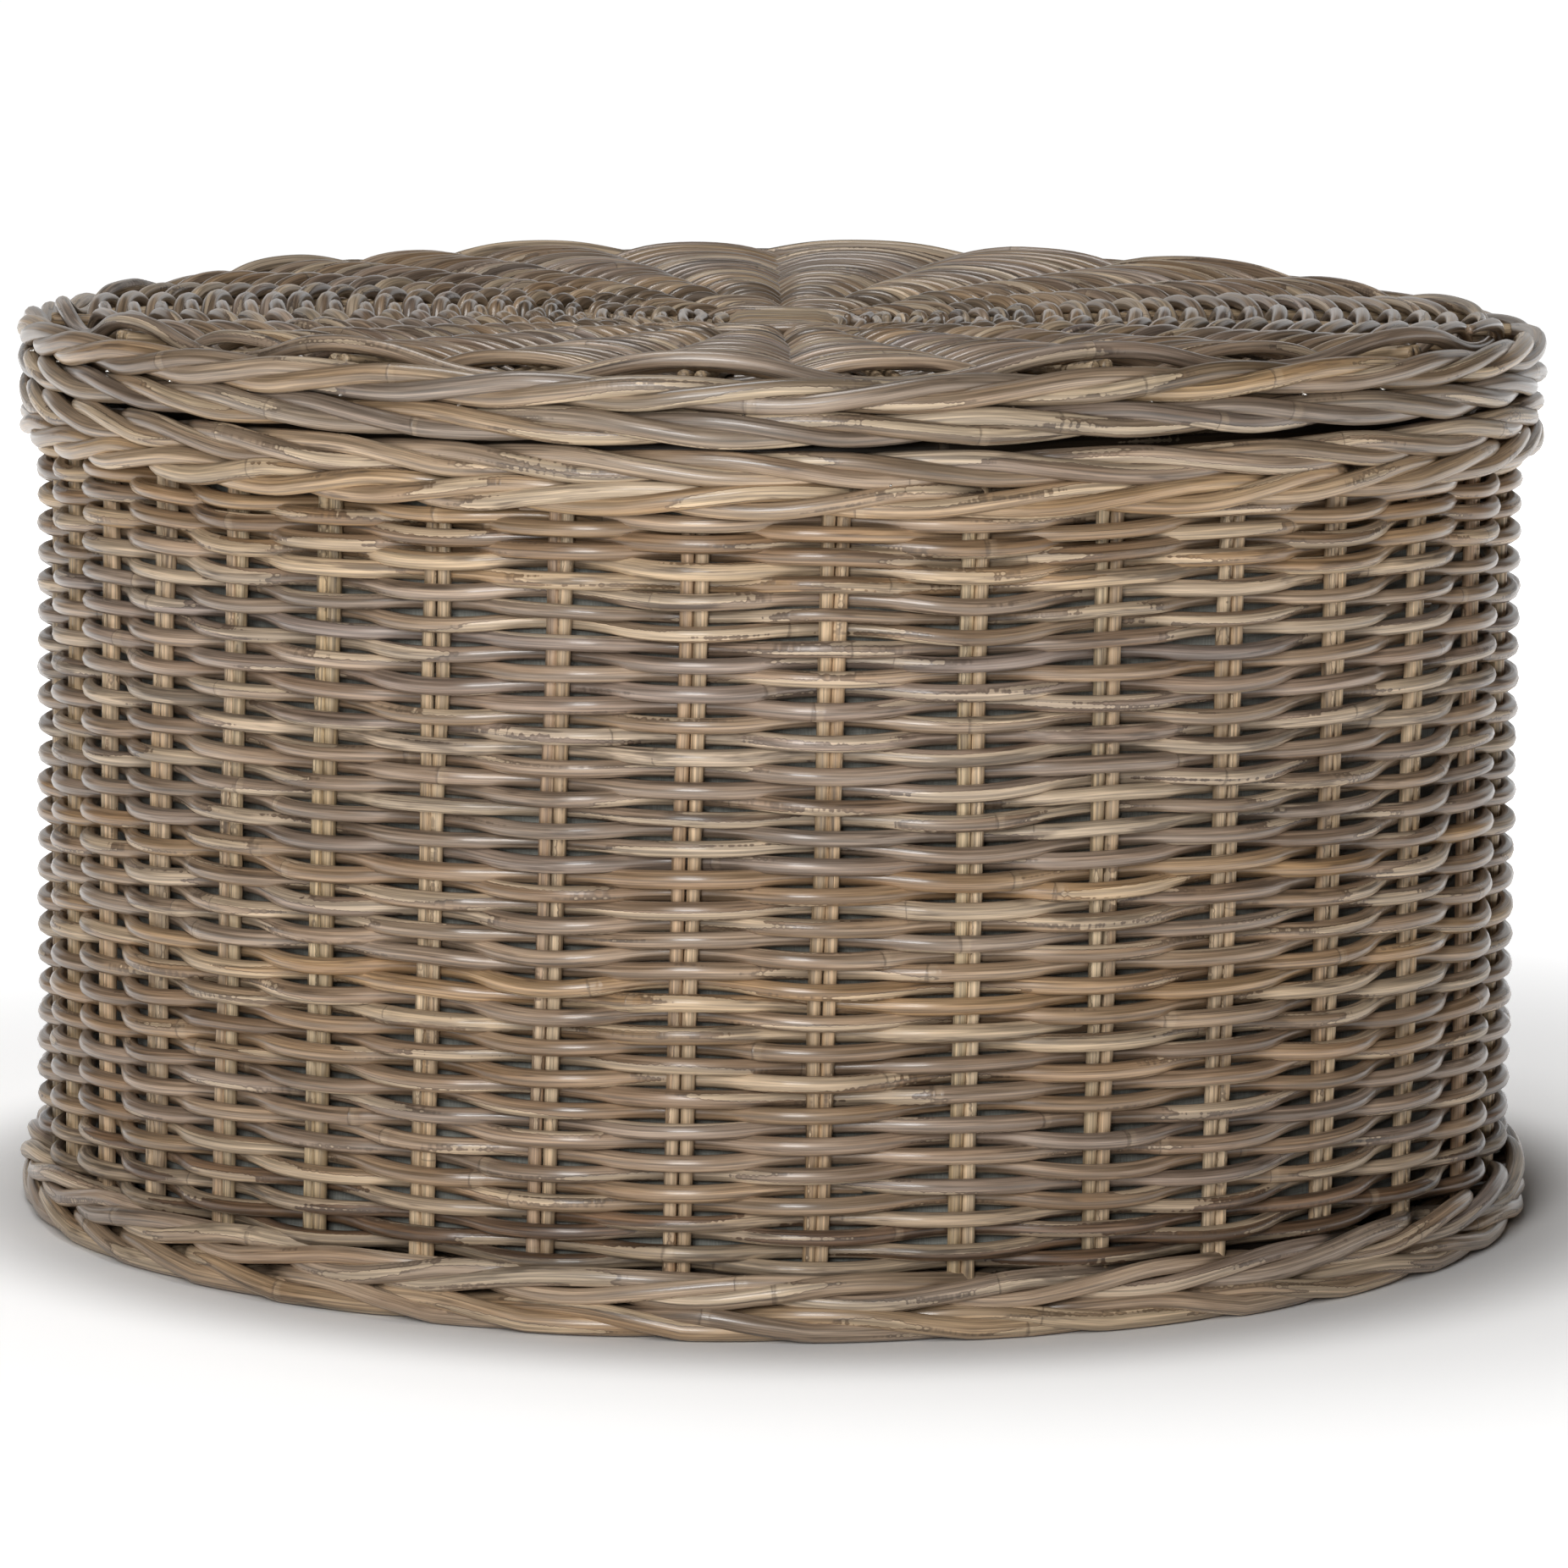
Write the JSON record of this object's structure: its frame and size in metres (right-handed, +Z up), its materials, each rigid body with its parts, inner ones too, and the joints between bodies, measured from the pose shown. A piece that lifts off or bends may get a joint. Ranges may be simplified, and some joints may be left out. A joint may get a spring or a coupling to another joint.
{
  "type": "laundry hamper with lid",
  "caption": "Round, low, straight-sided rattan laundry hamper with rope-like woven borders, a cloth liner and a dished lid that lifts off.",
  "frame": {"origin": "centre of the foot, on the floor that the hamper stands on", "axes": "+Z up along the axis of the round basket, and the way the lid lifts; the hamper is round, so +X and +Y are free"},
  "size_m": [0.61, 0.61, 0.3636],
  "materials": {
    "rattan_weaver": "glossy grey-brown kubu rattan, whole round cane",
    "rattan_border": "glossy grey-brown kubu rattan, thicker cane twisted into bands",
    "rattan_stake": "satin peeled rattan, paler than the weavers",
    "cane_hoop": "satin thick cane",
    "liner_cloth": "plain woven grey cotton",
    "brad": "bright zinc-plated steel"
  },
  "bodies": {
    "basket": {"base_cross_sticks": "rattan_stake", "base_spokes": "rattan_stake", "base_weave": "rattan_weaver", "base_hoop": "cane_hoop", "foot_border_lower": "rattan_border", "foot_border_upper": "rattan_border", "foot_brads": "brad", "side_stakes": "rattan_stake", "side_weave": "rattan_weaver", "rim_hoop": "cane_hoop", "rim_border_lower": "rattan_border", "rim_border_upper": "rattan_border", "rim_brads": "brad", "liner_floor": "liner_cloth", "liner_wall": "liner_cloth", "liner_hem": "liner_cloth", "liner_ties": "liner_cloth"},
    "lid": {"lid_cross_sticks": "rattan_stake", "lid_spokes": "rattan_stake", "lid_weave": "rattan_weaver", "lid_edge_weaver": "rattan_border", "lid_hoop": "cane_hoop", "lid_border_lower": "rattan_border", "lid_border_upper": "rattan_border", "lid_locating_ring": "cane_hoop", "lid_brads": "brad"}
  },
  "joints": [
    {"name": "lid_lift", "type": "slide", "parent": "basket", "child": "lid", "axis": [0, 0, 1], "range_m": [0, 0.3]}
  ]
}
